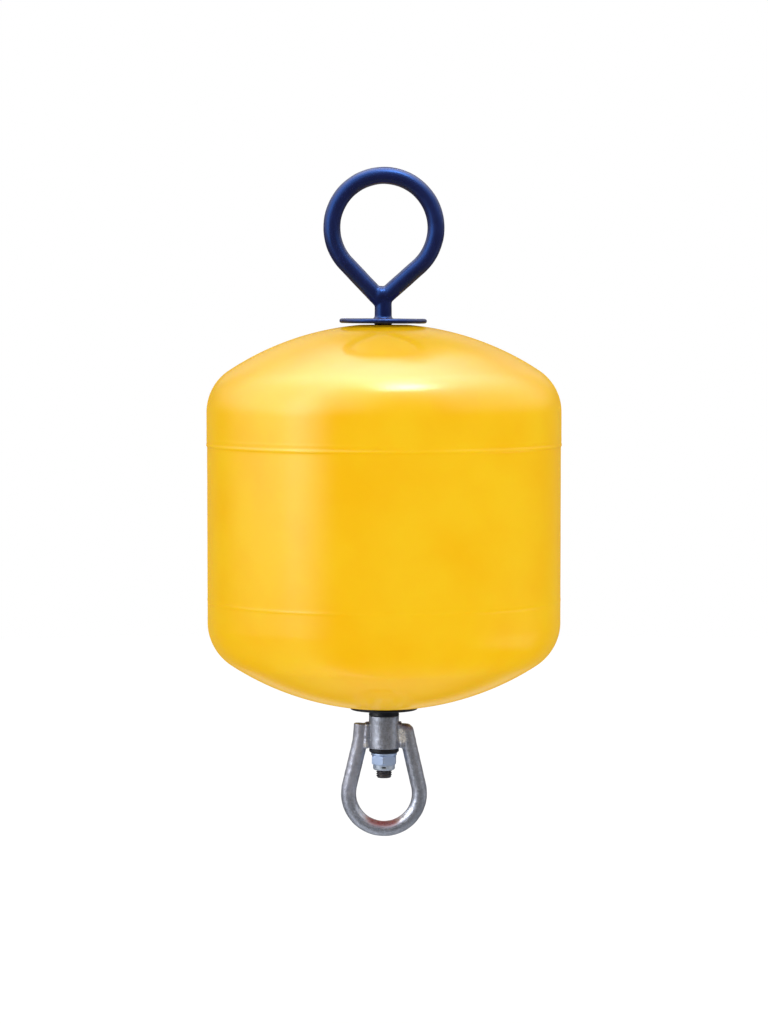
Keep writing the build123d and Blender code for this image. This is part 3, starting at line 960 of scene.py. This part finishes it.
hex_height = nut_high.z - hex_low - 2 * bevel
hex_rows = int(hex_height / nut_row)
crown_wall = hex_low - nut_low.z - crown_edge
bevel_shares = [step / bevel_steps for step in range(bevel_steps + 1)]
nut_outline = [(nut_bore, nut_high.z), (half_flats - face_inset, nut_high.z)]
nut_outline += [(half_flats + corner_reach * t, nut_high.z - bevel * t) for t in bevel_shares]
hex_top = nut_high.z - bevel
nut_outline += [(corner_radius, hex_top - hex_height * row / hex_rows) for row in range(1, hex_rows)]
nut_outline += [(corner_radius - corner_reach * t, hex_low + bevel - bevel * t) for t in bevel_shares]
nut_outline += [(crown_outside, hex_low - crown_wall * row / crown_rows) for row in range(crown_rows)]
crown_turn = (crown_outside - crown_edge, nut_low.z + crown_edge)
nut_outline += arc_points(crown_turn, crown_edge, 0, -pi / 2, steps=10)
nut_outline += [
    (crown_mouth, nut_low.z),
    (crown_mouth, ring_low.z),
    (ring_groove, ring_low.z),
    (ring_groove, ring_high.z),
    (nut_bore, ring_high.z),
    (nut_bore, nut_high.z),
]
nut_sizes = {"Half Flats": half_flats, "Segments": 168, "Material": plate}
lock_nut = make("lock_nut_plated", hex_tree, nut_sizes, upright(nut_outline))
lock_nut.data.transform(Matrix.Rotation(nut_turn, 4, "Z"))

# The nicks are pressed into the crown at even steps round it, the first at the front.
place = coordinates(lock_nut)
from_axis = np.hypot(place[:, 0], place[:, 1])
turn = np.arctan2(place[:, 1], place[:, 0]) + pi / 2
around = (turn + pi / NICKS) % (2 * pi / NICKS) - pi / NICKS
off_centre = np.hypot(around * from_axis / nick_half_width, (place[:, 2] - nick_level) / nick_half_height)
nick_and_shade = fade(off_centre, nick_floor, 1.0)
nick_and_shade *= (place[:, 2] < hex_low) & (from_axis > crown_lip)
place[:, :2] *= (1 - nick_depth * nick_and_shade / from_axis)[:, None]
move_points(lock_nut, place)
# The nicks' weight is also kept for the plate's painted shade in them.
mark(lock_nut, "nick_and_shade", nick_and_shade)
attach(lock_nut, "buoy")
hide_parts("lock_nut")


# Nylon ring inside the crown: cut from natural nylon and pressed in before the crown is closed over it.
# It grips the thread so that the nut stays put.

ring_outside = (ring_high.x - ring_low.x) / 2
ring_bore = 10.1 * MM
ring_edge = 0.3 * MM
ring_lead = 0.5 * MM

# Natural nylon: milky white, a little waxy.
milky_nylon, tree, shader = start_material("natural_nylon", IOR=1.53, Roughness=0.42)
mottle(tree, shader, size=3 * MM, detail=2.0, tones=("#bcbdb8", "#cfd0cb"))

ring_corners = [
    (ring_bore, ring_high.z, 0),
    (ring_outside, ring_high.z, ring_edge),
    (ring_outside, ring_low.z, ring_edge),
    (ring_bore, ring_low.z, ring_lead),
    (ring_bore, ring_high.z, 0),
]
nylon_ring = turn_piece("nylon_ring", ring_corners, milky_nylon, segments=72)
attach(nylon_ring, "buoy")
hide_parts("nut_ring")


# Studio: a wide white floor some way below the hanging buoy, even white light from all round, and a tent of
# lit cloth that only the reflections show.

WHITE = (1, 1, 1, 1)
BLACK = (0, 0, 0, 1)
floor_level = loop_low.z - 350 * MM
floor_radius = 6.0
floor_sides = 96
floor_lift = 0.04
surround_light = 1.05


def lay(name, points, faces, material):
    """Stage piece of plain faces with a material."""
    mesh = bpy.data.meshes.new(name)
    mesh.from_pydata(points, [], faces)
    mesh.materials.append(material)
    piece = new_object(name, mesh)
    return piece


def seen_rays(tree):
    """1 on camera, glossy and transmission rays, and 0 on the rays that light matt surfaces."""
    path = add(tree, "LightPath").outputs
    seen = add(tree, "Math", (path["Is Camera Ray"], path["Is Glossy Ray"]), "MAXIMUM")
    return add(tree, "Math", (seen, path["Is Transmission Ray"]), "MAXIMUM")


# Matt white sheet, lifted to plain white where the camera or a reflection sees it, with the shadow kept.
sheet, tree, shader = start_material(
    "white_sheet", Base_Color=linear("#fafafa"), Emission_Color=WHITE, Roughness=1.0, Specular_IOR_Level=0.0
)
lift = add(tree, "Math", (seen_rays(tree), floor_lift), "MULTIPLY")
feed(tree, shader, {"Emission Strength": lift})
floor_turns = np.linspace(0, 2 * pi, floor_sides, False)
floor_edge = [(floor_radius * cos(a), floor_radius * sin(a), floor_level) for a in floor_turns]
lay("floor", floor_edge, [list(range(floor_sides))], sheet)

# World: plain white to the camera and in reflections, and about as bright on matt surfaces.
world = bpy.data.worlds.new("white_surround")
world.use_nodes = True
world.cycles.sampling_method = "NONE"
bpy.context.scene.world = world
tree = world.node_tree
strength = {"Value": seen_rays(tree), "To Min": surround_light, "To Max": 1.0}
feed(tree, tree.nodes["Background"], {"Color": WHITE, "Strength": add(tree, "MapRange", strength)})

# Soft lamp high above, for matt surfaces.
lamp = bpy.data.lights.new("overhead", "AREA")
lamp.size = 2.4
lamp.energy = 7
lamp_holder = new_object("overhead", lamp)
lamp_holder.location = (-0.6, -0.8, 3.0)
lamp_holder.rotation_euler = (-lamp_holder.location).to_track_quat("-Z", "Y").to_euler()
lamp_holder.visible_camera = False
lamp_holder.visible_glossy = False

# Tent of lit cloth round the buoy, seen only in reflections. A place on it is given by its turn from the
# front, positive to the right, and its rise above level. Aside and ahead are measured from straight overhead.
middle = Vector((0, 0, 150 * MM))
tent_radius = 3.0
tent_turns = 144
tent_rises = 91
above_floor = middle.z - floor_level - 2 * MM
turn, rise = np.meshgrid(np.linspace(-180, 180, tent_turns, False), np.linspace(-90, 90, tent_rises))
right, back = np.sin(np.radians(turn)), -np.cos(np.radians(turn))
reach = np.minimum(tent_radius, above_floor / np.maximum(np.sin(np.radians(-rise)), 0.01))
out = reach * np.cos(np.radians(rise))
tent_points = np.stack((out * right, out * back, middle.z + reach * np.sin(np.radians(rise))), axis=-1)
aside = (90 - rise) * right
ahead = -(90 - rise) * back
away = np.abs(turn)

# Its lights, each a strength times its fall-off in degrees: the sky overhead with a dark gap low behind, one
# brighter place to the front right with its core, a tall window on the left with haze beside it, a dim
# horizon, a card low on the right, and the dark ground with a paler strip behind and a paler middle.
from_gap = np.abs((turn - 176 + 180) % 360 - 180)
overhead = 9.5 * np.exp(-(aside / 40) ** 2 - (ahead / np.where(ahead > 0, 36, 32)) ** 2)
overhead *= 1 - 0.9 * fade(from_gap, 9, 18) * fade(rise, 57, 67)
bright_place = 13.0 * np.exp(-((aside - 8) / 15) ** 2 - ((ahead - 17.5) / 11) ** 2)
bright_core = 26.0 * np.exp(-((aside - 9) / 9) ** 2 - ((ahead - 23 + 0.35 * (aside - 9)) / 5.5) ** 2)
window = 5.2 * fade(turn, -47, -128) * fade(turn, -52, -27)
window += 2.4 * np.exp(-(((turn + 57) / 8) ** 2))
window *= (0.1 + 0.9 * fade(rise, 13, -15)) * fade(rise, 10, 86)
haze = 2.1 * np.exp(-((turn + 25) / 18) ** 2) * fade(rise, 30, 0) * fade(rise, 40, 65)
horizon = fade(rise, 23, 0) * (0.07 + 1.05 * fade(away, 55, 25) * (1 - 0.9 * fade(away, 150, 110)))
horizon += 0.4 * fade(away, 160, 140) * fade(rise, 18, 8) * fade(rise, 26, 38)
right_card = 0.7 * fade(turn, 80, 50) * fade(turn, 95, 125)
right_card *= fade(rise, -22, -35) * fade(rise, -12, -5)
ground = 0.05 + 0.1 * fade(away, 150, 120) * fade(rise, 0, 12) * fade(rise, -40, -50)
ground += 0.5 * fade(away, 165, 150) * np.exp(-(((rise + 31) / 7) ** 2)) + 0.42 * fade(rise, -80, -45)
glow = overhead + bright_place + bright_core + window + haze + horizon + right_card + ground

# Lit cloth: black to the light that falls on it, and bright by its own glow.
lit_cloth, tree, shader = start_material(
    "lit_cloth", Base_Color=BLACK, Emission_Color=WHITE, Roughness=1.0, Specular_IOR_Level=0.0
)
bright = add(tree, "Attribute", attribute_name="glow").outputs["Fac"]
feed(tree, shader, {"Emission Strength": bright})
lit_cloth.cycles.emission_sampling = "NONE"
tent_faces = []
for ring in range(tent_rises - 1):
    for step in range(tent_turns):
        first = ring * tent_turns + step
        second = ring * tent_turns + (step + 1) % tent_turns
        tent_faces.append((first, second, second + tent_turns, first + tent_turns))
tent = lay("tent", tent_points.reshape(-1, 3).tolist(), tent_faces, lit_cloth)
mark(tent, "glow", glow)
tent.visible_camera = False
tent.visible_diffuse = False
tent.visible_shadow = False


# Camera: a little above the float's top, where the photograph was taken from, looking slightly down. Its
# place is given in metres, and its lens and horizon in pixels of the photograph.

camera_distance = 4.187
camera_height = 0.420
focal_pixels = 3300
frame_height = 1024
horizon_row = 303
sensor = 36.0
camera_data = bpy.data.cameras.new("camera")
camera_data.sensor_width = sensor
camera_data.lens = focal_pixels * sensor / frame_height
camera = new_object("camera", camera_data)
camera.location = (0, -camera_distance, camera_height)
camera.rotation_euler = (pi / 2 - atan2(frame_height / 2 - horizon_row, focal_pixels), 0, 0)
bpy.context.scene.camera = camera
bpy.context.scene.view_settings.view_transform = "Standard"
